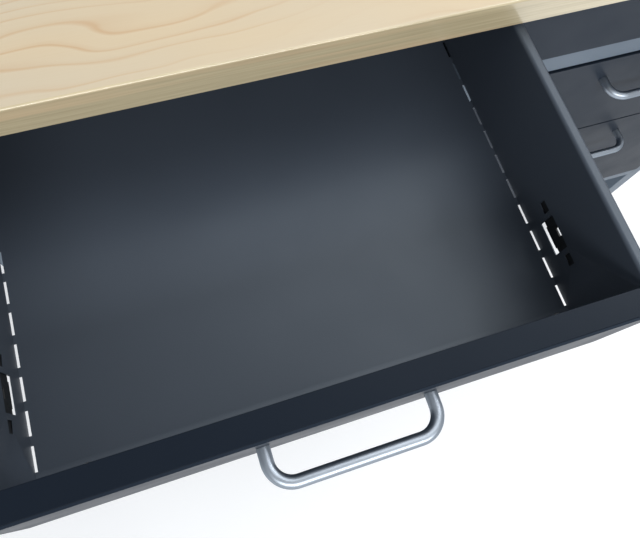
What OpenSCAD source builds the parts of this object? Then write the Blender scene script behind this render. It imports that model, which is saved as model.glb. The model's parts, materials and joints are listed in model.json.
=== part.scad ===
// Workbench with drawers: a wooden top on two leg frames, with a steel drawer cabinet between them.
// Millimetres, +Z up, front towards -Y. The origin is on the floor, at the centre of the rectangle
// that the bench covers with its left top drawer pulled out.

/* [Bench] */
// Length of the top
bench_w = 1200; // [1000:10:1600]
// Depth of the top
bench_d = 600; // [480:10:800]
// Height of the working surface above the floor
bench_h = 850; // [760:5:1050]
// Thickness of the top
top_t = 30; // [22:1:50]
// Thickness of the edge band around the top
band_t = 2; // [1:0.5:3]
// Top beyond the leg frame at each end
end_overhang = 40; // [20:5:80]
// Top in front of the cabinet's posts
front_overhang = 35; // [26:1:60]
// Top behind the cabinet's back panel
back_overhang = 35; // [20:1:60]

/* [Cabinet] */
// Width of each post
post_w = 20; // [16:1:40]
// Height of the rail under the top drawers
rail_h = 27; // [15:1:40]
// Depth of the rail under the top drawers
rail_d = 25; // [15:1:40]
// Height of the bottom panel's edges
base_h = 20; // [12:1:40]
// Sheet of the cabinet
cabinet_sheet = 1; // [0.8:0.1:1.5]

/* [Drawers] */
// How far the left top drawer is pulled out at rest
drawer_open = 295; // [40:5:340]
// Height of the top drawers' fronts
top_front_h = 115; // [100:1:160]
// Height of the middle drawers' fronts
mid_front_h = 168; // [125:1:220]
// Height of the bottom drawers' fronts
low_front_h = 253; // [150:1:320]
// Thickness of a front, panel and liner together
front_t = 22; // [16:1:30]
// Thickness of the front's outer panel
panel_t = 2; // [1.5:0.1:3]
// Corner radius of the outer panel
panel_r = 2; // [1:0.5:6]
// Sheet of the front's liner
liner_sheet = 1.2; // [0.8:0.1:2]
// How far the fronts stand proud of the posts and rails
front_proud = 2; // [0:0.5:4]
// Gap between a front and what is beside it
side_gap = 2; // [1.5:0.5:4]
// Gap above and below a front
front_gap = 3; // [2:0.5:5]
// Gap between the top drawers and the bench top
top_gap = 2.5; // [2:0.5:6]

/* [Trays] */
// Sheet of a tray
tray_sheet = 1; // [0.8:0.1:1.5]
// Tray's underside above the lower edge of its front
tray_lift = 3; // [2:1:10]
// Width of the rim on the side walls
rim_w = 10; // [8:0.5:11]
// Depth of the lip that hangs from the rim
rim_lip = 8; // [4:1:12]
// Radius of the fold between wall and rim
fold_r = 3; // [1.5:0.5:4]
// Middle tray's rim below the top of its front
mid_rim_drop = 25; // [5:1:28]
// Bottom tray's rim below the top of its front
low_rim_drop = 50; // [5:1:53]
// Tray's front and back walls below its rim
end_drop = 12; // [8:1:30]
// Free space behind a closed tray
back_clear = 5; // [4:1:30]
// Length of each slot in the folds beside the floor
slot_len = 20.4; // [10:0.1:24]
// Distance from one fold slot to the next
slot_pitch = 28.3; // [26:0.1:40]
// First fold slot behind the front
slot_start = 16; // [8:1:30]
// Width of the fold slots
slot_w = 2; // [1:0.5:3]

/* [Clips] */
// Length of the window for the clip in each side wall
window_len = 31.5; // [25:0.5:50]
// Height of that window
window_h = 22; // [18:0.5:24]
// Window behind the front
window_start = 59.5; // [40:0.5:90]
// Window above the floor of the tray
window_rise = 19; // [12:0.5:20]
// Length of the small holes beside the window
hook_len = 10.5; // [6:0.5:16]
// Height of the small holes beside the window
hook_h = 9; // [3:0.5:9]
// Lower edge of the small holes above the lower edge of the window
hook_rise = 12; // [6:0.5:13]
// Wall between the window and each small hole
hook_web = 5; // [3:0.5:6]
// Thickness of a clip
clip_t = 2; // [1.5:0.5:4]
// Open strip of the window below the clip
clip_rise = 3.5; // [2:0.5:8]
// Length of the notch at each lower corner of a clip
notch_len = 5; // [3:0.5:8]
// Height of those notches
notch_h = 1.6; // [1:0.2:3]
// Length of the hole through a clip
eye_len = 8; // [5:0.5:14]
// Height of the hole through a clip
eye_h = 6; // [4:0.5:8]

/* [Runners] */
// Space that a runner takes beside the tray
runner_t = 13; // [12:0.1:14]
// Height of the outer runner
runner_h = 45; // [40:1:50]
// Sheet of the runners
runner_sheet = 1.2; // [1:0.1:1.5]
// Runner's centre above the floor of the tray
runner_rise = 62; // [60:1:64]
// Runner lengths come in steps of this size
runner_step = 50; // [25:25:50]
// Length of each ball cage
cage_len = 60; // [30:5:100]

/* [Handles] */
// Distance between the handle's screws
handle_cc = 128; // [96:32:192]
// Diameter of the handle's bar
handle_d = 10; // [8:1:14]
// Handle's bar centre in front of the panel
handle_out = 29; // [24:1:40]
// Centreline radius of the handle's bends
bend_r = 18; // [12:1:20]
// Handle's screws below the top of the front
handle_drop = 40; // [25:1:60]
// Diameter of the handle's and front's screws
screw_d = 4; // [3:0.5:5]
// Thread length inside the handle
thread_len = 9; // [6:1:10]

/* [Legs and feet] */
// Width of a leg tube, along the bench
leg_w = 30; // [25:1:50]
// Depth of a leg tube, from front to back
leg_d = 50; // [40:1:80]
// Wall of the leg tubes
leg_wall = 2; // [1.5:0.5:3]
// Legs behind the top's front edge and in front of its back edge
leg_inset = 45; // [35:5:80]
// Height of the tube that joins the two legs of a frame
cross_h = 30; // [20:5:50]
// Underside of the lower cross tube above the floor
cross_z = 100; // [50:5:140]
// Diameter of a levelling foot
foot_d = 45; // [35:1:48]
// Thickness of a levelling foot's pad
foot_t = 8; // [6:1:12]
// Diameter of a foot's threaded stem
stem_d = 10; // [8:1:12]
// Stem between the pad and the leg
stem_free = 17; // [10:1:30]
// Stem inside the leg
stem_in = 30; // [20:1:50]
// Thickness of the plate that closes a leg
leg_plate = 3; // [2:0.5:5]
// Diameter of the bolts that hold the cabinet
bolt_d = 8; // [6:1:10]
// Diameter of the screws that hold the top
top_screw_d = 5; // [4:0.5:6]
// Length of those screws inside the top
top_screw_in = 18; // [10:1:20]

/* [Hidden] */
$fn = 48;
eps = 0.01;
// How far a cut runs past the face that it opens
cut = 1;
// Sides of a hexagon head or nut
hex = 6;
// Running gap between pieces that slide past each other
run_gap = 0.4;
// Radial room around a screw, bolt or stem
hole_gap = 0.1;
DRAWERS = ["left_top", "left_middle", "left_bottom", "right_top", "right_middle", "right_bottom"];
PIECES = ["tray", "front_panel", "front_liner", "handle",
    "screws", "clips", "inner_runners", "middle_runners"];
FIXED = ["bench_top", "edge_bands", "left_side_panel", "right_side_panel", "centre_divider", "back_panel",
    "bottom_panel", "front_rails", "outer_runners", "leg_frames", "levelling_feet", "frame_fasteners"];

// Depth places: the bench top's front edge, the posts, the closed fronts and the back panel
handle_reach = handle_out + handle_d / 2;
open_reach = max(0, drawer_open + handle_reach - (front_overhang - front_proud));
edge_y = (open_reach - bench_d) / 2;
post_y = edge_y + front_overhang;
shut_y = post_y - front_proud;
back_y = edge_y + bench_d - back_overhang;
runner_y = shut_y + front_t + side_gap;
runner_len = floor((back_y - cabinet_sheet - back_clear + side_gap - runner_y) / runner_step) * runner_step;
tray_len = runner_len;

// Height places
under_top = bench_h - top_t;
rail_top = under_top - top_gap - top_front_h - front_gap;
rail_z = rail_top - rail_h;
front_tops = [under_top - top_gap, rail_z - front_gap, rail_z - 2 * front_gap - mid_front_h];
front_hs = [top_front_h, mid_front_h, low_front_h];
rim_drops = [0, mid_rim_drop, low_rim_drop];
base_top = front_tops[2] - low_front_h - front_gap;
base_z = base_top - base_h;
leg_bottom = foot_t + stem_free;

// Depth ranges of the two legs of a frame
leg_ys = [[edge_y + leg_inset, edge_y + leg_inset + leg_d],
    [edge_y + bench_d - leg_inset - leg_d, edge_y + bench_d - leg_inset]];

// Width places
cabinet_w = bench_w - 2 * (end_overhang + leg_w);
opening_w = (cabinet_w - 3 * post_w) / 2;
front_w = opening_w - 2 * side_gap;
tray_w = opening_w - 2 * runner_t;
column_x = (opening_w + post_w) / 2;
leg_x = cabinet_w / 2;

// Runner sections, as half heights and depths from the cabinet wall
outer_lip = 4.6;
outer_depth = 9.5;
mid_half = 17.2;
mid_depths = [2.4, 10.6];
inner_half = 12.2;
inner_depth = 8.4;
cage_depths = [5.2, 9.2];
cage_inset = cage_len / 2;

// Clips: how far they lap over the wall around each hole, and the thickness of the bar that joins them
clip_lap = 1;
clip_bar_t = clip_t / 2;

// Small holes beside the window, from the floor and the front end of the tray
hook_z = window_rise + hook_rise;
hook_ys = [window_start - hook_web - hook_len, window_start + window_len + hook_web];

// Fasteners
head_h = 2.4;
head_d = 2 * screw_d;
thread_clear = 1;
nut_t = 0.8 * bolt_d;
nut_d = 1.9 * bolt_d;
screw_inset = 60;
screw_rise = 20;
bolt_rise = 60;
top_screw_inset = 60;
tip_clear = 1;
foot_nut_t = 6;
foot_nut_d = 19;

function column(i) = i < len(front_hs) ? -column_x : column_x;
function row(i) = i % len(front_hs);
function front_y(i) = shut_y - (i == 0 ? drawer_open : 0);
function front_top(i) = front_tops[row(i)];
function front_low(i) = front_top(i) - front_hs[row(i)];
function floor_top(i) = front_low(i) + tray_lift + tray_sheet;
function rim_top(i) = front_top(i) - rim_drops[row(i)];
function handle_z(i) = front_top(i) - handle_drop;
function tray_y(i) = front_y(i) + front_t;

// A block between two corners given as ranges
module block(x, y, z) {
    translate([x[0], y[0], z[0]]) cube([x[1] - x[0], y[1] - y[0], z[1] - z[0]]);
}

// A rectangle between two ranges
module patch(x, y) {
    translate([x[0], y[0]]) square([x[1] - x[0], y[1] - y[0]]);
}

// A rod along Y from y0 to y1
module rod_y(x, y0, y1, z, d) {
    translate([x, y1, z]) rotate([90, 0, 0]) cylinder(h = y1 - y0, d = d);
}

// A rod along X from x0 to x1
module rod_x(x0, x1, y, z, d, sides = $fn) {
    translate([x0, y, z]) rotate([0, 90, 0]) cylinder(h = x1 - x0, d = d, $fn = sides);
}

// Children at both sides of a plane at x, the second one mirrored
module both_sides(x) {
    translate([x, 0, 0]) children();
    translate([x, 0, 0]) mirror([1, 0, 0]) children();
}

// A flat section in X and Z drawn out along Y from y0 to y1
module drawn_y(y0, y1) {
    translate([0, y1, 0]) rotate([90, 0, 0]) linear_extrude(height = y1 - y0) children();
}

// A quarter of a ring of sheet, from the left to the top, around its centre
module fold(r, t) {
    intersection() {
        difference() {
            circle(r = r);
            circle(r = r - t);
        }
        patch([-r, 0], [0, r]);
    }
}

// Bench top

module bench_top() {
    core_w = bench_w - 2 * band_t;
    color("burlywood") difference() {
        block([-core_w / 2, core_w / 2], [edge_y + band_t, edge_y + bench_d - band_t], [under_top, bench_h]);
        each_top_screw() translate([0, 0, -eps])
            cylinder(h = top_screw_in + eps, d = top_screw_d + 2 * hole_gap);
    }
}

module edge_bands() {
    color("tan") {
        for (y = [edge_y, edge_y + bench_d - band_t])
            block([-bench_w / 2, bench_w / 2], [y, y + band_t], [under_top, bench_h]);
        both_sides(0)
            block([bench_w / 2 - band_t, bench_w / 2], [edge_y + band_t, edge_y + bench_d - band_t],
                [under_top, bench_h]);
    }
}

// Cabinet

// A hollow post wall of folded sheet, open at its top and bottom
module post_wall(x0) {
    difference() {
        block([x0, x0 + post_w], [post_y, back_y - cabinet_sheet], [base_z, under_top]);
        block([x0 + cabinet_sheet, x0 + post_w - cabinet_sheet],
            [post_y + cabinet_sheet, back_y - 2 * cabinet_sheet], [base_z - cut, under_top + cut]);
    }
}

module left_side_panel() {
    color("slategray") difference() {
        post_wall(-leg_x);
        each_cabinet_bolt(-1) rod_x(-leg_x - cut, -leg_x + cabinet_sheet + cut, 0, 0, bolt_d + 2 * hole_gap);
    }
}

module right_side_panel() {
    color("slategray") difference() {
        post_wall(leg_x - post_w);
        each_cabinet_bolt(1) rod_x(leg_x - cabinet_sheet - cut, leg_x + cut, 0, 0, bolt_d + 2 * hole_gap);
    }
}

module centre_divider() {
    color("slategray") post_wall(-post_w / 2);
}

module back_panel() {
    color("slategray") block([-leg_x, leg_x], [back_y - cabinet_sheet, back_y], [base_z, under_top]);
}

// Two bays of folded sheet with their edges turned down, one under each column
module bottom_panel() {
    color("slategray") for (x = [-column_x, column_x]) difference() {
        block([x - opening_w / 2, x + opening_w / 2], [post_y, back_y - cabinet_sheet], [base_z, base_top]);
        block([x - opening_w / 2 + cabinet_sheet, x + opening_w / 2 - cabinet_sheet],
            [post_y + cabinet_sheet, back_y - 2 * cabinet_sheet], [base_z - cut, base_top - cabinet_sheet]);
    }
}

// One channel of folded sheet per column, open towards the back
module front_rails() {
    color("lightslategray") for (x = [-column_x, column_x]) difference() {
        block([x - opening_w / 2, x + opening_w / 2], [post_y, post_y + rail_d], [rail_z, rail_top]);
        block([x - opening_w / 2 - cut, x + opening_w / 2 + cut],
            [post_y + cabinet_sheet, post_y + rail_d + cut],
            [rail_z + cabinet_sheet, rail_top - cabinet_sheet]);
    }
}

// Runners, drawn for the right-hand side of a tray with x = 0 on the cabinet wall and depth towards -X

module runner_section_outer() {
    half = runner_h / 2;
    patch([-runner_sheet, 0], [-half, half]);
    for (s = [-1, 1]) {
        low = s < 0 ? -half : half - runner_sheet;
        patch([-outer_depth, 0], [low, low + runner_sheet]);
        lip = s < 0 ? -half : half - outer_lip;
        patch([-outer_depth, -outer_depth + runner_sheet], [lip, lip + outer_lip]);
    }
}

module runner_section_middle() {
    patch([-mid_depths[0] - runner_sheet, -mid_depths[0]], [-mid_half, mid_half]);
    for (low = [-mid_half, mid_half - runner_sheet])
        patch([-mid_depths[1], -mid_depths[0]], [low, low + runner_sheet]);
}

module runner_section_inner() {
    patch([-runner_t, -runner_t + runner_sheet], [-inner_half, inner_half]);
    for (low = [-inner_half, inner_half - runner_sheet])
        patch([-runner_t, -runner_t + inner_depth], [low, low + runner_sheet]);
}

// Places children at both runners of drawer i, as the right-hand one and its mirror image
module at_runners(i, pulled) {
    translate([0, -pulled, floor_top(i) + runner_rise])
        both_sides(column(i)) translate([opening_w / 2, 0, 0]) children();
}

module outer_runners() {
    color("silver") for (i = [0:len(DRAWERS) - 1])
        at_runners(i, 0) drawn_y(runner_y, runner_y + runner_len) runner_section_outer();
}

module middle_runners(i) {
    pulled = (shut_y - front_y(i)) / 2;
    cage_y = runner_y + (runner_len - cage_len) / 2;
    color("gainsboro") at_runners(i, pulled) {
        drawn_y(runner_y, runner_y + runner_len) runner_section_middle();
        for (y = [runner_y + cage_inset, cage_y, runner_y + runner_len - cage_len - cage_inset])
            for (s = [-1, 1]) {
                inner_face = inner_half + run_gap;
                outer_face = mid_half - runner_sheet;
                z = s < 0 ? [-outer_face, -inner_face] : [inner_face, outer_face];
                block([-cage_depths[1], -cage_depths[0]], [y, y + cage_len], z);
            }
    }
}

module inner_runners(i) {
    color("silver") at_runners(i, shut_y - front_y(i))
        drawn_y(runner_y, runner_y + runner_len) runner_section_inner();
}

// Drawer pieces

// Section of the right side wall: x = 0 on its inner face, z = 0 on the floor, up to height h
module wall_section(h) {
    patch([0, tray_sheet], [-tray_sheet, h - fold_r]);
    translate([fold_r, h - fold_r]) fold(fold_r, tray_sheet);
    patch([fold_r, rim_w - fold_r], [h - tray_sheet, h]);
    translate([rim_w - fold_r, h - fold_r]) mirror([1, 0]) fold(fold_r, tray_sheet);
    patch([rim_w - tray_sheet, rim_w], [h - rim_lip, h - fold_r]);
}

module tray(i) {
    x = column(i);
    y0 = tray_y(i);
    y1 = y0 + tray_len;
    z0 = floor_top(i);
    h = rim_top(i) - z0;
    inner = tray_w / 2 - tray_sheet;
    slots = floor((tray_len - slot_start - slot_len - tray_sheet) / slot_pitch);
    color("dimgray") difference() {
        union() {
            block([x - tray_w / 2, x + tray_w / 2], [y0, y1], [z0 - tray_sheet, z0]);
            both_sides(x) translate([inner, 0, z0]) drawn_y(y0, y1) wall_section(h);
            for (y = [y0, y1 - tray_sheet])
                block([x - tray_w / 2, x + tray_w / 2], [y, y + tray_sheet],
                    [z0 - tray_sheet, z0 + h - end_drop]);
        }
        both_sides(x) translate([inner, y0, z0]) {
            for (k = [0:slots])
                block([-slot_w, tray_sheet + cut],
                    [slot_start + k * slot_pitch, slot_start + k * slot_pitch + slot_len],
                    [-tray_sheet - cut, eps]);
            block([-cut, tray_sheet + cut], [window_start, window_start + window_len],
                [window_rise, window_rise + window_h]);
            for (y = hook_ys)
                block([-cut, tray_sheet + cut], [y, y + hook_len], [hook_z, hook_z + hook_h]);
        }
        each_front_screw(i) rod_y(0, y0 - cut, y0 + tray_sheet + cut, 0, screw_d + 2 * hole_gap);
    }
}

module front_panel(i) {
    x = column(i);
    y = front_y(i);
    low = front_low(i);
    top = front_top(i);
    half = front_w / 2;
    color("gray") difference() {
        union() {
            block([x - half + panel_r, x + half - panel_r], [y, y + panel_t], [low, top]);
            block([x - half, x + half], [y, y + panel_t], [low + panel_r, top - panel_r]);
            for (cx = [x - half + panel_r, x + half - panel_r])
                for (cz = [low + panel_r, top - panel_r])
                    rod_y(cx, y, y + panel_t, cz, 2 * panel_r);
        }
        each_handle_screw(i) rod_y(0, y - cut, y + panel_t + cut, 0, screw_d + 2 * hole_gap);
    }
}

// A shallow box behind the panel; its upper edge is the dark band on top of the front
module front_liner(i) {
    x = column(i);
    y0 = front_y(i) + panel_t;
    y1 = tray_y(i);
    low = front_low(i);
    top = front_top(i);
    half = front_w / 2 - panel_r;
    color("black") difference() {
        block([x - half, x + half], [y0, y1], [low, top]);
        block([x - half + liner_sheet, x + half - liner_sheet], [y0 - cut, y1 - liner_sheet],
            [low + liner_sheet, top - liner_sheet]);
        each_front_screw(i) rod_y(0, y1 - liner_sheet - cut, y1 + cut, 0, screw_d + 2 * hole_gap);
    }
}

// A bent round bar with a blind threaded hole in each leg
module handle(i) {
    y = front_y(i);
    leg = handle_out - bend_r;
    color("silver") difference() {
        union() {
            for (s = [-1, 1])
                translate([column(i) + s * handle_cc / 2, y, handle_z(i)]) mirror([s > 0 ? 1 : 0, 0, 0]) {
                    rod_y(0, -leg, 0, 0, handle_d);
                    translate([bend_r, -leg, 0]) rotate([0, 0, 180])
                        rotate_extrude(angle = 90) translate([bend_r, 0]) circle(d = handle_d);
                }
            rod_x(column(i) - handle_cc / 2 + bend_r, column(i) + handle_cc / 2 - bend_r,
                y - handle_out, handle_z(i), handle_d);
        }
        each_handle_screw(i) rod_y(0, y - thread_len - thread_clear, y + cut, 0, screw_d + 2 * hole_gap);
    }
}

module each_handle_screw(i) {
    for (s = [-1, 1])
        translate([column(i) + s * handle_cc / 2, 0, handle_z(i)]) children();
}

module each_front_screw(i) {
    z = [floor_top(i) + screw_rise, rim_top(i) - end_drop - screw_rise];
    for (s = [-1, 1])
        for (k = z)
            translate([column(i) + s * (tray_w / 2 - screw_inset), 0, k]) children();
}

// The handle's two screws, with their heads in the front, and the four that join tray and liner
module screws(i) {
    y = front_y(i);
    inside = tray_y(i) + tray_sheet;
    color("silver") {
        each_handle_screw(i) {
            rod_y(0, y - thread_len, y + panel_t + eps, 0, screw_d);
            rod_y(0, y + panel_t, y + panel_t + head_h, 0, head_d);
        }
        each_front_screw(i) {
            rod_y(0, inside - tray_sheet - liner_sheet - head_h, inside + eps, 0, screw_d);
            rod_y(0, inside, inside + head_h, 0, head_d);
        }
    }
}

// A plastic clip over the window in each side wall, hooked into the two small holes beside it
module clips(i) {
    window_end = window_start + window_len;
    window_top = window_rise + window_h;
    low = window_rise + clip_rise;
    eye_y = window_start + window_len / 2;
    color("black") both_sides(column(i)) translate([tray_w / 2, tray_y(i), floor_top(i)]) {
        difference() {
            block([0, clip_t], [window_start - clip_lap, window_end + clip_lap],
                [low, window_top + clip_lap]);
            block([-cut, clip_t + cut], [eye_y - eye_len / 2, eye_y + eye_len / 2],
                [window_top - eye_h, window_top]);
            for (y = [[window_start - clip_lap - cut, window_start + notch_len],
                    [window_end - notch_len, window_end + clip_lap + cut]])
                block([-cut, clip_t + cut], y, [low - cut, low + notch_h]);
        }
        for (y = hook_ys)
            block([0, clip_t], [y - clip_lap, y + hook_len + clip_lap],
                [hook_z - clip_lap, hook_z + hook_h + clip_lap]);
        for (y = [[hook_ys[0], window_start + clip_lap], [window_end - clip_lap, hook_ys[1] + hook_len]])
            block([0, clip_bar_t], y, [hook_z, hook_z + hook_h]);
    }
}

// Legs, feet and fasteners

module tube_z(x, y, z) {
    difference() {
        block(x, y, z);
        block([x[0] + leg_wall, x[1] - leg_wall], [y[0] + leg_wall, y[1] - leg_wall],
            [z[0] + leg_plate, z[1] - leg_plate]);
    }
}

// Two tubes joined by a cross tube at the top and another near the floor, at each end of the bench
module leg_frames() {
    color("slategray") for (s = [-1, 1]) {
        x = s < 0 ? [-leg_x - leg_w, -leg_x] : [leg_x, leg_x + leg_w];
        difference() {
            union() {
                for (y = leg_ys)
                    tube_z(x, y, [leg_bottom, under_top]);
                for (z = [cross_z, under_top - cross_h])
                    difference() {
                        block(x, [leg_ys[0][1], leg_ys[1][0]], [z, z + cross_h]);
                        block([x[0] + leg_wall, x[1] - leg_wall], [leg_ys[0][1] - eps, leg_ys[1][0] + eps],
                            [z + leg_wall, z + cross_h - leg_wall]);
                    }
            }
            each_cabinet_bolt(s) rod_x(x[0] - cut, x[1] + cut, 0, 0, bolt_d + 2 * hole_gap);
            each_foot() translate([0, 0, leg_bottom - cut])
                cylinder(h = leg_plate + 2 * cut, d = stem_d + 2 * hole_gap);
            each_top_screw() translate([0, 0, -cross_h - cut])
                cylinder(h = cross_h + 2 * cut, d = top_screw_d + 2 * hole_gap);
        }
    }
}

module each_foot() {
    for (x = [-leg_x - leg_w / 2, leg_x + leg_w / 2])
        for (y = leg_ys)
            translate([x, (y[0] + y[1]) / 2, 0]) children();
}

module each_cabinet_bolt(s) {
    for (y = leg_ys)
        for (z = [base_z + bolt_rise, rail_z])
            translate([0, (y[0] + y[1]) / 2, z]) children();
}

module each_top_screw() {
    for (x = [-leg_x - leg_w / 2, leg_x + leg_w / 2])
        for (y = [leg_ys[0][1] + top_screw_inset, leg_ys[1][0] - top_screw_inset])
            translate([x, y, under_top]) children();
}

// A round pad, a fixed nut and a stem that runs up into the leg
module levelling_feet() {
    color("black") each_foot() {
        cylinder(h = foot_t, d = foot_d);
        cylinder(h = foot_t + foot_nut_t, d = foot_nut_d, $fn = hex);
        cylinder(h = leg_bottom + stem_in, d = stem_d);
    }
}

module frame_fasteners() {
    color("silver") {
        for (s = [-1, 1]) {
            outside = leg_x + leg_w;
            inside = leg_x - cabinet_sheet - nut_t;
            each_cabinet_bolt(s) {
                rod_x(s < 0 ? -outside - eps : inside - cut, s < 0 ? -inside + cut : outside + eps,
                    0, 0, bolt_d);
                rod_x(s < 0 ? -outside - nut_t : outside, s < 0 ? -outside : outside + nut_t,
                    0, 0, nut_d, hex);
                rod_x(s < 0 ? -inside - nut_t : inside, s < 0 ? -inside : inside + nut_t, 0, 0, nut_d, hex);
            }
        }
        each_top_screw() {
            translate([0, 0, -cross_h - eps])
                cylinder(h = cross_h + top_screw_in - tip_clear, d = top_screw_d);
            translate([0, 0, -cross_h - head_h]) cylinder(h = head_h, d = 2 * top_screw_d);
        }
    }
}

bench_top();
edge_bands();
left_side_panel();
right_side_panel();
centre_divider();
back_panel();
bottom_panel();
front_rails();
outer_runners();
leg_frames();
levelling_feet();
frame_fasteners();
for (i = [0:len(DRAWERS) - 1]) {
    tray(i);
    front_panel(i);
    front_liner(i);
    handle(i);
    screws(i);
    clips(i);
    inner_runners(i);
    middle_runners(i);
}
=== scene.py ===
import bpy
import json
import math
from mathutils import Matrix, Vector


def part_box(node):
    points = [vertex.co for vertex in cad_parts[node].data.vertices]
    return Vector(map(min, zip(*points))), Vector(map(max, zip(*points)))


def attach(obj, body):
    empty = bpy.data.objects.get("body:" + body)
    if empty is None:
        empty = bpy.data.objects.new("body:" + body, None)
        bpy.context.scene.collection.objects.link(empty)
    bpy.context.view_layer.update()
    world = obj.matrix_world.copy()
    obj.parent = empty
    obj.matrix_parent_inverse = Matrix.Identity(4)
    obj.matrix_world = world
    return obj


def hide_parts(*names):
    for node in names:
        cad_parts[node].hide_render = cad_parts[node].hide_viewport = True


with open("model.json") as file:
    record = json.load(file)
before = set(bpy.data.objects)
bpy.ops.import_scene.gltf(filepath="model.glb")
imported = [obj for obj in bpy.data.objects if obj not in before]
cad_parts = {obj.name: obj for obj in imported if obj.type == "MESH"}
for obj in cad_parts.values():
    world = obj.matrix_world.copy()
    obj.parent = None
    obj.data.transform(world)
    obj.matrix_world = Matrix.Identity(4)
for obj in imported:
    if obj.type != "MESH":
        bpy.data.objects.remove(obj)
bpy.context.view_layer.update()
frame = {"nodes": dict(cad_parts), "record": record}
nodes = frame["nodes"]
nodeBody = {n: body for body, members in frame["record"]["behaviour"]["bodies"].items() for n in members}
nodeSlot = {s["node"]: s["material_slot"] for s in frame["record"]["subparts"]}
drawers = ["left_top", "left_middle", "left_bottom", "right_top", "right_middle", "right_bottom"]
mm = 0.001


cameraLook = {
    "sideways": -0.0706,  # from the middle of the left top drawer
    "forward": -0.2803,  # from the front edge of the top
    "up": 0.3679,  # above the top
    "turn": (19.68, -4.737, -17.885),
    "lens": 33.83,
    "sensor": 36,
    "near": 0.02,  # nothing closer than this is drawn
    "shift": (0.0097, -0.0118),
}


def addCamera(look):
    topLow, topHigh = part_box("edge_bands")
    trayLow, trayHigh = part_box("left_top_tray")
    data = bpy.data.cameras.new("bench_camera")
    data.lens = look["lens"]
    data.sensor_width = look["sensor"]
    data.shift_x, data.shift_y = look["shift"]
    data.clip_start = look["near"]
    camera = bpy.data.objects.new("bench_camera", data)
    bpy.context.scene.collection.objects.link(camera)
    camera.location = ((trayLow.x + trayHigh.x) / 2 + look["sideways"], topLow.y + look["forward"],
                       topHigh.z + look["up"])
    camera.rotation_euler = [math.radians(a) for a in look["turn"]]
    bpy.context.scene.camera = camera


addCamera(cameraLook)
print("camera placed")


def rgb(red, green, blue):
    # screen colour, 0 to 255, as the linear colour that a shader wants
    screen = [c / 255 for c in (red, green, blue)]
    return tuple(((c + 0.055) / 1.055) ** 2.4 if c > 0.04 else c / 12.92 for c in screen) + (1,)


def newMaterial(name, **settings):
    # a principled surface with its uniform values set on its own sockets
    material = bpy.data.materials.new(name)
    material.use_nodes = True
    surface = material.node_tree.nodes["Principled BSDF"]
    for socket, value in settings.items():
        surface.inputs[socket.replace("_", " ")].default_value = value
    return material, surface


def add(material, kind, **settings):
    node = material.node_tree.nodes.new("ShaderNode" + kind)
    for key, value in settings.items():
        socket = node.inputs.get(key.replace("_", " "))
        if hasattr(node, key):
            setattr(node, key, value)
        else:
            socket.default_value = value
    return node


def join(material, start, end):
    material.node_tree.links.new(start, end)


def ramp(material, source, stops):
    node = add(material, "ValToRGB")
    elements = node.color_ramp.elements
    while len(elements) < len(stops):
        elements.new(0.5)
    for element, (place, colour) in zip(elements, stops):
        element.position = place
        element.color = colour
    join(material, source, node.inputs[0])
    return node.outputs[0]


def grey(value):
    return (value, value, value, 1)


def objectNoise(material, scale, detail=2.0, stretch=(1, 1, 1), roughness=0.5):
    place = add(material, "TexCoord")
    mapping = add(material, "Mapping")
    mapping.inputs["Scale"].default_value = stretch
    join(material, place.outputs["Object"], mapping.inputs[0])
    noise = add(material, "TexNoise", Scale=scale, Detail=detail, Roughness=roughness)
    join(material, mapping.outputs[0], noise.inputs["Vector"])
    return noise.outputs["Fac"]


def mixColour(material, factor, first, second, blend="MIX"):
    node = add(material, "Mix", data_type="RGBA", blend_type=blend)
    for socket, value in ((node.inputs[0], factor), (node.inputs[6], first), (node.inputs[7], second)):
        if hasattr(value, "is_output"):
            join(material, value, socket)
        else:
            socket.default_value = value
    return node.outputs[2]


def maths(material, operation, first, second=None, third=None):
    node = add(material, "Math", operation=operation)
    for socket, value in zip(node.inputs, (first, second, third)):
        if value is None:
            continue
        if hasattr(value, "is_output"):
            join(material, value, socket)
        else:
            socket.default_value = value
    return node.outputs[0]


def bump(material, surface, height, strength, distance, under=None):
    node = add(material, "Bump", Strength=strength, Distance=distance)
    join(material, height, node.inputs["Height"])
    if under:
        join(material, under, node.inputs["Normal"])
    join(material, node.outputs[0], surface.inputs["Normal"])
    return node.outputs[0]


def scaled(colour, amount):
    return tuple(c * amount for c in colour[:3]) + (1,)


powderCoat = {
    "cloud": 5.0,  # patches of tone in a metre
    "cloudy": 0.07,  # how far the tone swings
    "fleck": 2600.0,
    "fleckShow": 0.25,
    "glossPatch": 14.0,
    "peel": 750.0,  # orange peel
    "peelDepth": 0.12,
    "cold": (0.82, 0.92, 1.0),  # tint of the gloss
}


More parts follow.
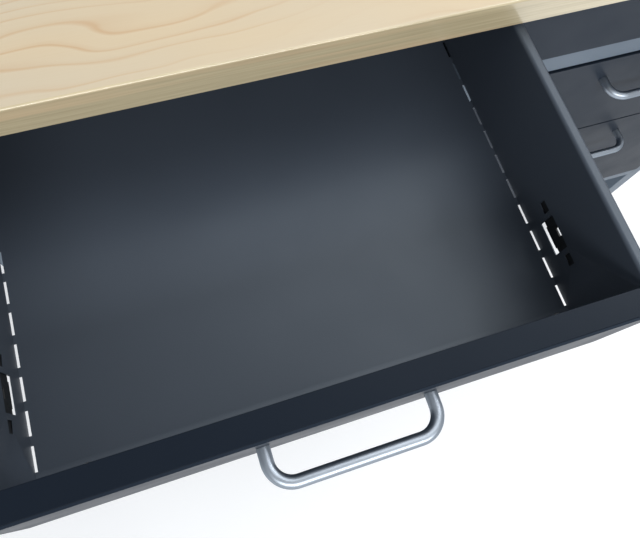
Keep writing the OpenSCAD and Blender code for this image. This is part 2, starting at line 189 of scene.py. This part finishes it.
def paint(name, colour, rough, shine, scuff=0.0, cold=powderCoat["cold"], look=powderCoat):
    # powder coat: fine orange peel, cloudy tone, uneven gloss and a few light scuffs
    material, surface = newMaterial(name, Specular_IOR_Level=shine, Specular_Tint=cold + (1,))
    cloud = ramp(material, objectNoise(material, look["cloud"], 3.0), [(0.3, grey(0)), (0.7, grey(1))])
    tone = mixColour(material, cloud, scaled(colour, 1 - look["cloudy"]), scaled(colour, 1 + look["cloudy"]))
    fleck = ramp(material, objectNoise(material, look["fleck"], 1.0), [(0.62, grey(0)), (0.75, grey(1))])
    tone = mixColour(material, maths(material, "MULTIPLY", fleck, look["fleckShow"]), tone, scaled(colour, 1.6))
    if scuff:
        streak = objectNoise(material, 30.0, 6.0, (0.6, 3.0, 3.0), 0.7)
        worn = ramp(material, streak, [(0.66, grey(0)), (0.76, grey(1))])
        tone = mixColour(material, maths(material, "MULTIPLY", worn, scuff), tone, scaled(colour, 2.2))
    join(material, tone, surface.inputs["Base Color"])
    patch = objectNoise(material, look["glossPatch"], 3.0)
    gloss = ramp(material, patch, [(0.3, grey(rough - 0.04)), (0.7, grey(rough + 0.05))])
    join(material, gloss, surface.inputs["Roughness"])
    bump(material, surface, objectNoise(material, look["peel"], 2.0), look["peelDepth"], 0.4 * mm)
    return material


def zinc(name, colour, rough):
    # zinc plate: soft patches of tone, fine drawing lines along the piece
    material, surface = newMaterial(name, Metallic=1.0)
    patch = objectNoise(material, 45.0, 3.0, (1, 0.35, 1))
    lines = objectNoise(material, 900.0, 2.0, (1, 0.012, 1))
    tone = mixColour(material, patch, scaled(colour, 0.78), scaled(colour, 1.12))
    tone = mixColour(material, maths(material, "MULTIPLY", lines, 0.3), tone, scaled(colour, 0.6))
    join(material, tone, surface.inputs["Base Color"])
    gloss = ramp(material, patch, [(0.3, grey(rough - 0.08)), (0.75, grey(rough + 0.1))])
    join(material, gloss, surface.inputs["Roughness"])
    bump(material, surface, lines, 0.15, 0.1 * mm)
    return material


def satinBar(name, colour, rough):
    # a ground and satin-finished bar: fine rings of brushing and a soft, even gloss
    material, surface = newMaterial(name, Metallic=1.0, Specular_Tint=(0.1, 0.11, 0.13, 1))
    rings = objectNoise(material, 1400.0, 2.0, (0.04, 1, 1))
    soft = objectNoise(material, 60.0, 3.0)
    tone = mixColour(material, soft, scaled(colour, 0.93), scaled(colour, 1.05))
    tone = mixColour(material, maths(material, "MULTIPLY", rings, 0.12), tone, scaled(colour, 0.72))
    join(material, tone, surface.inputs["Base Color"])
    gloss = ramp(material, rings, [(0.3, grey(rough - 0.05)), (0.7, grey(rough + 0.06))])
    join(material, gloss, surface.inputs["Roughness"])
    bump(material, surface, rings, 0.04, 0.05 * mm)
    return material


def moulded(name, colour, rough, grain):
    # moulded plastic or rubber with a fine spark-eroded texture
    material, surface = newMaterial(name)
    cloud = objectNoise(material, 25.0, 2.0)
    tone = mixColour(material, cloud, scaled(colour, 0.8), scaled(colour, 1.3))
    join(material, tone, surface.inputs["Base Color"])
    gloss = ramp(material, objectNoise(material, 300.0, 2.0), [(0.3, grey(rough - 0.05)), (0.7, grey(rough + 0.08))])
    join(material, gloss, surface.inputs["Roughness"])
    bump(material, surface, objectNoise(material, 1600.0, 2.0), grain, 0.3 * mm)
    return material


mapleLook = {
    "base": rgb(190, 183, 165),
    "warm": rgb(203, 184, 151),
    "line": rgb(185, 152, 115),
    "lineCount": 92.0,  # growth lines in a metre across the board
    "wander": 13.0,  # how far the lines wander, in line gaps
    "crowding": 3.2,  # how much wide and narrow gaps differ
    "field": (3.0, 7.5, 1.0),  # waves in a metre along, across and through the board
    "gaps": (0.9, 21.0, 1.0),
    "fading": (3.2, 17.0, 3.0),
    "warmth": (2.2, 9.0, 2.0),
    "fibre": (22.0, 900.0, 40.0),
    "fibreShow": 0.16,
    "rough": 0.48,
}


def mapleBoard(name, look):
    # flat-sawn maple: growth lines drawn as the contours of a long, slowly wandering field
    material, surface = newMaterial(name, Coat_Weight=0.15, Coat_Roughness=0.45)
    place = add(material, "TexCoord")
    split = add(material, "SeparateXYZ")
    join(material, place.outputs["Object"], split.inputs[0])
    field = objectNoise(material, 1.0, 3.0, look["field"], 0.35)
    across = maths(material, "MULTIPLY", split.outputs["Y"], look["lineCount"])
    gaps = objectNoise(material, 1.0, 2.0, look["gaps"])
    rings = maths(material, "MULTIPLY_ADD", field, look["wander"], across)
    rings = maths(material, "MULTIPLY_ADD", gaps, look["crowding"], rings)
    saw = maths(material, "FRACT", rings)
    line = ramp(material, saw, [(0.0, grey(0.62)), (0.05, grey(0.28)), (0.26, grey(0.06)), (0.85, grey(0.0)),
                                (0.96, grey(0.7))])
    fading = objectNoise(material, 1.0, 2.0, look["fading"])
    faint = ramp(material, fading, [(0.38, grey(0.08)), (0.66, grey(1))])
    patches = objectNoise(material, 1.0, 2.0, look["warmth"])
    warmth = ramp(material, patches, [(0.35, grey(0)), (0.7, grey(1))])
    fibre = objectNoise(material, 1.0, 4.0, look["fibre"], 0.6)
    tone = mixColour(material, warmth, look["base"], look["warm"])
    tone = mixColour(material, maths(material, "MULTIPLY", fibre, look["fibreShow"]), tone, look["line"])
    tone = mixColour(material, maths(material, "MULTIPLY", line, faint), tone, look["line"])
    join(material, tone, surface.inputs["Base Color"])
    gloss = ramp(material, fibre, [(0.3, grey(look["rough"] - 0.04)), (0.7, grey(look["rough"] + 0.06))])
    join(material, gloss, surface.inputs["Roughness"])
    bump(material, surface, fibre, 0.05, 0.1 * mm)
    return material


bandLook = {
    "base": rgb(201, 188, 153),
    "dark": rgb(177, 162, 129),
    "peach": rgb(212, 186, 149),
    "streaks": (7.0, 7.0, 420.0),  # in a metre: long along the strip, fine across it
    "stripes": (2.5, 2.5, 95.0),
    "rough": 0.4,
}


def edgeBandWood(name, look):
    # straight fine grain along the strip; the same streaks serve the strips that run from front to back
    material, surface = newMaterial(name, Coat_Weight=1.0, Coat_Roughness=0.16, Coat_IOR=1.7)
    streak = objectNoise(material, 1.0, 5.0, look["streaks"], 0.6)
    wide = objectNoise(material, 1.0, 3.0, look["stripes"])
    light = ramp(material, streak, [(0.32, grey(0)), (0.66, grey(1))])
    tone = mixColour(material, light, look["dark"], look["base"])
    warm = ramp(material, wide, [(0.52, grey(0)), (0.68, grey(0.7))])
    tone = mixColour(material, warm, tone, look["peach"])
    join(material, tone, surface.inputs["Base Color"])
    surface.inputs["Roughness"].default_value = look["rough"]
    bump(material, surface, streak, 0.06, 0.1 * mm)
    return material


finishes = {
    "maple_board": mapleBoard("maple board", mapleLook),
    "edge_band": edgeBandWood("maple edge band", bandLook),
    "cabinet_paint": paint("cabinet paint", rgb(90, 102, 115), rough=0.42, shine=0.3),
    "tray_paint": paint("tray paint", rgb(60, 67, 77), rough=0.4, shine=0.46, scuff=0.03),
    "front_paint": paint("front paint", rgb(33, 40, 50), rough=0.42, shine=0.1, cold=(0.6, 0.8, 1.0)),
    "liner_paint": paint("liner paint", rgb(18, 25, 35), rough=0.38, shine=0.13),
    "satin_handle": satinBar("satin handle", (0.42, 0.47, 0.53, 1), rough=0.4),
    "zinc_steel": zinc("zinc runner", (0.56, 0.58, 0.61, 1), rough=0.36),
    "zinc_fastener": zinc("zinc fastener", (0.6, 0.61, 0.62, 1), rough=0.3),
    "black_plastic": moulded("black plastic", rgb(16, 17, 19), rough=0.5, grain=0.2),
    "black_rubber": moulded("black rubber", rgb(30, 30, 31), rough=0.7, grain=0.3),
}
for name, piece in nodes.items():
    piece.data.materials.clear()
    piece.data.materials.append(finishes[nodeSlot[name]])
print("materials made")


def deselectAll():
    if bpy.context.object and bpy.context.object.mode != "OBJECT":
        bpy.ops.object.mode_set(mode="OBJECT")
    bpy.ops.object.select_all(action="DESELECT")


def activate(piece):
    deselectAll()
    piece.select_set(True)
    bpy.context.view_layer.objects.active = piece


def startEdit(piece, mode="VERT"):
    activate(piece)
    bpy.ops.object.mode_set(mode="EDIT")
    bpy.ops.mesh.select_mode(type=mode)
    bpy.ops.mesh.select_all(action="DESELECT")


def endEdit():
    bpy.ops.object.mode_set(mode="OBJECT")


def pick(piece, kind, wanted):
    # selects the vertices, edges or faces that a rule wants; the rule gets the middle of each, in metres
    bpy.ops.object.mode_set(mode="OBJECT")
    mesh = piece.data
    for things in (mesh.vertices, mesh.edges, mesh.polygons):
        for thing in things:
            thing.select = False
    for thing in getattr(mesh, kind):
        if kind == "vertices":
            middle = thing.co
        elif kind == "edges":
            middle = (mesh.vertices[thing.vertices[0]].co + mesh.vertices[thing.vertices[1]].co) / 2
        else:
            middle = thing.center
        thing.select = bool(wanted(middle, thing))
    bpy.ops.object.mode_set(mode="EDIT")


def applyPlace(piece):
    # moves the place, turn and scale of a piece into its mesh
    activate(piece)
    bpy.ops.object.transform_apply(location=True, rotation=True, scale=True)


def newObject(name, mesh):
    piece = bpy.data.objects.new(name, mesh)
    bpy.context.scene.collection.objects.link(piece)
    return piece


def placedCopy(pattern, place, turn=(0, 0, 0)):
    # a copy with a mesh of its own, put in its place
    piece = newObject(pattern.name, pattern.data.copy())
    piece.location = place
    piece.rotation_euler = [math.radians(a) for a in turn]
    applyPlace(piece)
    return piece


def joined(pieces):
    activate(pieces[0])
    for piece in pieces:
        piece.select_set(True)
    bpy.ops.object.join()
    return pieces[0]


def drop(*pieces):
    for piece in pieces:
        bpy.data.objects.remove(piece)


def applyBevel(piece, width, segments, angle=32):
    bevel = piece.modifiers.new("edges", "BEVEL")
    bevel.width = width
    bevel.segments = segments
    bevel.limit_method = "ANGLE"
    bevel.angle_limit = math.radians(angle)
    bevel.loop_slide = False
    activate(piece)
    bpy.ops.object.modifier_apply(modifier=bevel.name)


def evenNormals(piece):
    # keeps the large flat faces flat beside their rounded edges
    modifier = piece.modifiers.new("even normals", "WEIGHTED_NORMAL")
    modifier.keep_sharp = True
    activate(piece)
    bpy.ops.object.modifier_apply(modifier=modifier.name)


def finishPiece(piece, name, body, slotName, replaced=(), smooth=38):
    # gives a piece its name, finish and body, with its place kept in its mesh
    applyPlace(piece)
    bpy.ops.object.shade_smooth_by_angle(angle=math.radians(smooth))
    evenNormals(piece)
    piece.name = name
    piece.data.name = name
    piece.data.materials.clear()
    piece.data.materials.append(finishes[slotName])
    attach(piece, body)
    if replaced:
        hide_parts(*replaced)
    return piece


weldGap = 0.002 * mm  # CAD corners closer than this are one


def weldedCopy(node):
    piece = newObject(node, nodes[node].data.copy())
    startEdit(piece)
    bpy.ops.mesh.select_all(action="SELECT")
    bpy.ops.mesh.remove_doubles(threshold=weldGap)
    endEdit()
    return piece


def softenedNode(node, width, segments=2):
    # a welded copy of a CAD node with its sharp edges rounded over; a width of 0 only smooths its folds
    piece = weldedCopy(node)
    if width:
        applyBevel(piece, width, segments)
    return finishPiece(piece, node + "_soft", nodeBody[node], nodeSlot[node], [node])


def looseBoxes(node):
    # lowest and highest corner of each separate solid of a CAD node
    startEdit(weldedCopy(node))
    bpy.ops.mesh.select_all(action="SELECT")
    bpy.ops.mesh.separate(type="LOOSE")
    endEdit()
    parts = list(bpy.context.selected_objects)
    boxes = []
    for part in parts:
        corners = [v.co for v in part.data.vertices]
        low = Vector([min(c[k] for c in corners) for k in range(3)])
        high = Vector([max(c[k] for c in corners) for k in range(3)])
        boxes.append((low, high))
    drop(*parts)
    return sorted(boxes, key=lambda box: tuple(round(c, 4) for c in box[0]))


def turned(name, steps, sides=32):
    # a round piece drawn up from its first ring; each step is a height and a radius in millimetres
    deselectAll()
    height, radius = steps[0]
    bpy.ops.mesh.primitive_circle_add(vertices=sides, radius=radius * mm, fill_type="NGON",
                                      location=(0, 0, height * mm))
    piece = bpy.context.object
    piece.name = name
    bpy.ops.object.mode_set(mode="EDIT")
    bpy.ops.mesh.select_all(action="SELECT")
    for nextHeight, nextRadius in steps[1:]:
        bpy.ops.mesh.extrude_region_move(TRANSFORM_OT_translate={"value": (0, 0, (nextHeight - height) * mm)})
        grow = nextRadius / radius
        bpy.ops.transform.resize(value=(grow, grow, 1), center_override=(0, 0, nextHeight * mm))
        height, radius = nextHeight, nextRadius
    closeShell()
    applyPlace(piece)
    return piece


def closeShell():
    # in edit mode: merges doubles, closes open rings and turns the faces outwards
    bpy.ops.mesh.select_all(action="SELECT")
    bpy.ops.mesh.remove_doubles(threshold=0.0005 * mm)
    bpy.ops.mesh.fill_holes(sides=0)
    bpy.ops.mesh.select_all(action="SELECT")
    bpy.ops.mesh.normals_make_consistent(inside=False)
    endEdit()


softEdges = {
    "left_side_panel": 0.4, "right_side_panel": 0.4, "centre_divider": 0.4, "back_panel": 0.4,
    "bottom_panel": 0.4, "front_rails": 0.4, "leg_frames": 1.4, "frame_fasteners": 0.45, "outer_runners": 0.3,
}
drawerEdges = {
    "tray": 0, "front_panel": 0.6, "front_liner": 0.5, "clips": 0.3, "inner_runners": 0.3,
    "middle_runners": 0.3,
}
for name, width in softEdges.items():
    softenedNode(name, width * mm)
for drawer in drawers:
    for part, width in drawerEdges.items():
        softenedNode(drawer + "_" + part, width * mm)
print("sheet pieces softened")


bandShape = {
    "thick": 2.0,
    "round": 1.75,  # radius of the outer edges
    "steps": 5,
}


def edgeBands(shape):
    # four strips drawn up from their footprints, with their outer edges rounded
    low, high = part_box("edge_bands")
    near = 0.1 * mm
    thick = shape["thick"] * mm
    footprints = [(low.x, high.x, y, y + thick) for y in (low.y, high.y - thick)]
    footprints += [(x, x + thick, low.y + thick, high.y - thick) for x in (low.x, high.x - thick)]
    strips = []
    for left, right, front, back in footprints:
        deselectAll()
        bpy.ops.mesh.primitive_plane_add(size=1, location=((left + right) / 2, (front + back) / 2, low.z))
        strip = bpy.context.object
        strip.scale = (right - left, back - front, 1)
        applyPlace(strip)
        startEdit(strip, "FACE")
        bpy.ops.mesh.select_all(action="SELECT")
        bpy.ops.mesh.extrude_region_move(TRANSFORM_OT_translate={"value": (0, 0, high.z - low.z)})
        closeShell()

        def outer(point):
            atX = min(abs(point.x - low.x), abs(point.x - high.x)) < near
            atY = min(abs(point.y - low.y), abs(point.y - high.y)) < near
            return atX, atY

        def rounded(point, edge):
            first, second = [strip.data.vertices[v].co for v in edge.vertices]
            if abs(first.z - second.z) > near:
                return all(outer(point))
            return any(outer(first)) and any(outer(second)) and any(outer(point))

        startEdit(strip, "EDGE")
        pick(strip, "edges", rounded)
        bpy.ops.mesh.bevel(offset=shape["round"] * mm, segments=shape["steps"], affect="EDGES")
        endEdit()
        strips.append(strip)
    return finishPiece(joined(strips), "edge_bands_wood", "bench", "edge_band", ["edge_bands"], smooth=50)


edgeBands(bandShape)
print("edge bands made")


handleShape = {
    "bend": 18.0,  # centreline radius of the bends
    "sides": 40,
    "bendSteps": 14,
    "chamfer": 0.35,
}


def handleBar(shape, low, high):
    # a ring drawn out, turned round the first bend, drawn along, turned again and drawn back
    thick = high.z - low.z
    left, right = low.x + thick / 2, high.x - thick / 2
    face, out = high.y, low.y + thick / 2
    level = (low.z + high.z) / 2
    bend = shape["bend"] * mm
    deselectAll()
    bpy.ops.mesh.primitive_circle_add(vertices=shape["sides"], radius=thick / 2, fill_type="NOTHING",
                                      location=(left, face, level), rotation=(math.radians(90), 0, 0))
    bar = bpy.context.object
    applyPlace(bar)
    bpy.ops.object.mode_set(mode="EDIT")
    bpy.ops.mesh.select_mode(type="EDGE")
    bpy.ops.mesh.select_all(action="SELECT")
    draw = bpy.ops.mesh.extrude_region_move
    draw(TRANSFORM_OT_translate={"value": (0, out + bend - face, 0)})
    turn = {"steps": shape["bendSteps"], "angle": math.radians(-90), "axis": (0, 0, 1)}
    bpy.ops.mesh.spin(center=(left + bend, out + bend, level), **turn)
    draw(TRANSFORM_OT_translate={"value": (right - left - 2 * bend, 0, 0)})
    bpy.ops.mesh.spin(center=(right - bend, out + bend, level), **turn)
    draw(TRANSFORM_OT_translate={"value": (0, face - out - bend, 0)})
    closeShell()
    applyBevel(bar, shape["chamfer"] * mm, 2, angle=60)
    return bar


for drawer in drawers:
    bar = handleBar(handleShape, *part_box(drawer + "_handle"))
    finishPiece(bar, drawer + "_handle_bar", nodeBody[drawer + "_handle"], "satin_handle", [drawer + "_handle"], 50)
print("handles bent")


screwShape = {
    "head": 2.4,  # height of the head
    "shank": 4.0,
    "recess": 2.3,  # radius of the cross in the head
    "deep": 1.3,
    "dome": ((0.35, 1.0), (0.72, 0.9), (0.93, 0.72), (1.0, 0.6)),  # shares of the head's height and radius
    "sides": 24,
}


def panScrew(shape, headWidth, length):
    # head up and shank down, with the head's seat at the origin
    head, shank, headR = shape["head"], shape["shank"] / 2, headWidth / 2 / mm
    steps = [(-length / mm, shank * 0.7), (-length / mm + 0.7, shank), (0, shank), (0, headR)]
    steps += [(head * up, headR * out) for up, out in shape["dome"]]
    piece = turned("pan screw", steps, shape["sides"])
    crown = headR * shape["dome"][-1][1]
    startEdit(piece, "FACE")
    pick(piece, "polygons", lambda middle, face: face.normal.z > 0.9 and middle.z > (head - 0.05) * mm)
    bpy.ops.mesh.inset(thickness=(crown - shape["recess"] * 0.9) * mm, depth=0)
    bpy.ops.mesh.extrude_region_move(TRANSFORM_OT_translate={"value": (0, 0, -shape["deep"] * mm)})
    bpy.ops.transform.resize(value=(0.8, 0.8, 1), center_override=(0, 0, (head - shape["deep"]) * mm))

    def betweenArms(middle, vertex):
        if math.hypot(middle.x, middle.y) > shape["recess"] * mm or middle.z < 0.5 * mm:
            return False
        turn = math.degrees(math.atan2(middle.y, middle.x)) % 90
        return 20 < turn < 70

    pick(piece, "vertices", betweenArms)
    bpy.ops.transform.resize(value=(0.42, 0.42, 1), center_override=(0, 0, head * mm))
    endEdit()
    return piece


for drawer in drawers:
    node = drawer + "_screws"
    screws = []
    for low, high in looseBoxes(node):
        length = high.y - low.y - screwShape["head"] * mm
        pattern = panScrew(screwShape, high.x - low.x, length)
        middle = (low + high) / 2
        screws.append(placedCopy(pattern, (middle.x, high.y - screwShape["head"] * mm, middle.z), (-90, 0, 0)))
        drop(pattern)
    finishPiece(joined(screws), drawer + "_pan_screws", nodeBody[node], "zinc_fastener", [node])
print("screws made")


footShape = {
    "pad": 8.0,  # thickness of the pad
    "nut": 6.0,
    "nutWidth": 19.0,  # across its corners
    "stem": 10.0,
    "pitch": 1.5,
    "thread": 0.75,  # depth of the thread
}


def levellingFeet(shape):
    # rubber pads with a grooved rim, and above them a nut and a threaded stem
    pads, stems = [], []
    for low, high in looseBoxes("levelling_feet"):
        middle = ((low.x + high.x) / 2, (low.y + high.y) / 2, 0)
        wide, pad, top = (high.x - low.x) / 2 / mm, shape["pad"], high.z / mm
        rim = [(0, wide - 1.2), (0.6, wide - 0.3), (1.2, wide), (pad * 0.35, wide)]
        groove = [(pad * 0.42, wide - 0.9), (pad * 0.5, wide - 0.9), (pad * 0.57, wide - 0.2)]
        crown = [(pad * 0.7, wide - 1.2), (pad * 0.86, wide * 0.72), (pad * 0.95, wide * 0.52), (pad, wide * 0.45)]
        pads.append(turned("foot pad", rim + groove + crown, sides=48))
        nutTop = pad + shape["nut"]
        nut = turned("foot nut", [(pad - 0.2, shape["nutWidth"] / 2), (nutTop, shape["nutWidth"] / 2)], sides=6)
        applyBevel(nut, 0.7 * mm, 2)
        pitch, outer = shape["pitch"], shape["stem"] / 2
        steps = [(pad, outer - 0.6)]
        for k in range(int((top - 1 - nutTop) / pitch)):
            start = nutTop + k * pitch
            steps += [(start + 0.2 * pitch, outer - shape["thread"]), (start + 0.5 * pitch, outer),
                      (start + 0.62 * pitch, outer)]
        steps += [(top - 0.6, outer - 0.7), (top, outer - 1.4)]
        stem = turned("foot stem", steps, sides=28)
        for part in (pads[-1], nut, stem):
            part.location = middle
            applyPlace(part)
        stems += [nut, stem]
    finishPiece(joined(pads), "foot_pads", "bench", "black_rubber", ["levelling_feet"])
    finishPiece(joined(stems), "foot_stems", "bench", "zinc_fastener")


levellingFeet(footShape)
print("feet made")


stageLook = {
    "floor": rgb(240, 241, 242),
    "floorGlow": 0.15,
    "world": 0.5,
    "sky": (0.93, 0.96, 1.0, 1),
    "aim": (-0.25, -0.25, 0.75),  # where the lamps point
    "key": {"place": (1.15, 0.6, 3.2), "size": (2.8, 2.8), "power": 46.0},
    "front": {"place": (-0.4, -2.6, 2.5), "size": (3.2, 0.6), "power": 72.0},
    "side": {"place": (2.1, 0.3, 3.0), "size": (0.9, 0.9), "power": 16.0},
}


def addStage(look):
    deselectAll()
    bpy.ops.mesh.primitive_plane_add(size=30, location=(0, 0, 0))
    floor = bpy.context.object
    floor.name = "studio_floor"
    material, surface = newMaterial("studio floor", Roughness=0.75, Emission_Strength=look["floorGlow"])
    surface.inputs["Base Color"].default_value = look["floor"]
    surface.inputs["Emission Color"].default_value = look["floor"]
    floor.data.materials.append(material)
    world = bpy.data.worlds.new("studio")
    world.use_nodes = True
    world.node_tree.nodes["Background"].inputs[0].default_value = look["sky"]
    world.node_tree.nodes["Background"].inputs[1].default_value = look["world"]
    bpy.context.scene.world = world
    bpy.context.scene.view_settings.view_transform = "Standard"


def addLight(name, look, aim):
    data = bpy.data.lights.new(name, "AREA")
    data.shape = "RECTANGLE"
    data.size, data.size_y = look["size"]
    data.energy = look["power"]
    lamp = bpy.data.objects.new(name, data)
    bpy.context.scene.collection.objects.link(lamp)
    lamp.location = look["place"]
    lamp.rotation_euler = (Vector(aim) - Vector(look["place"])).to_track_quat("-Z", "Y").to_euler()


addStage(stageLook)
for name in ("key", "front", "side"):
    addLight(name, stageLook[name], stageLook["aim"])
print("stage lit")
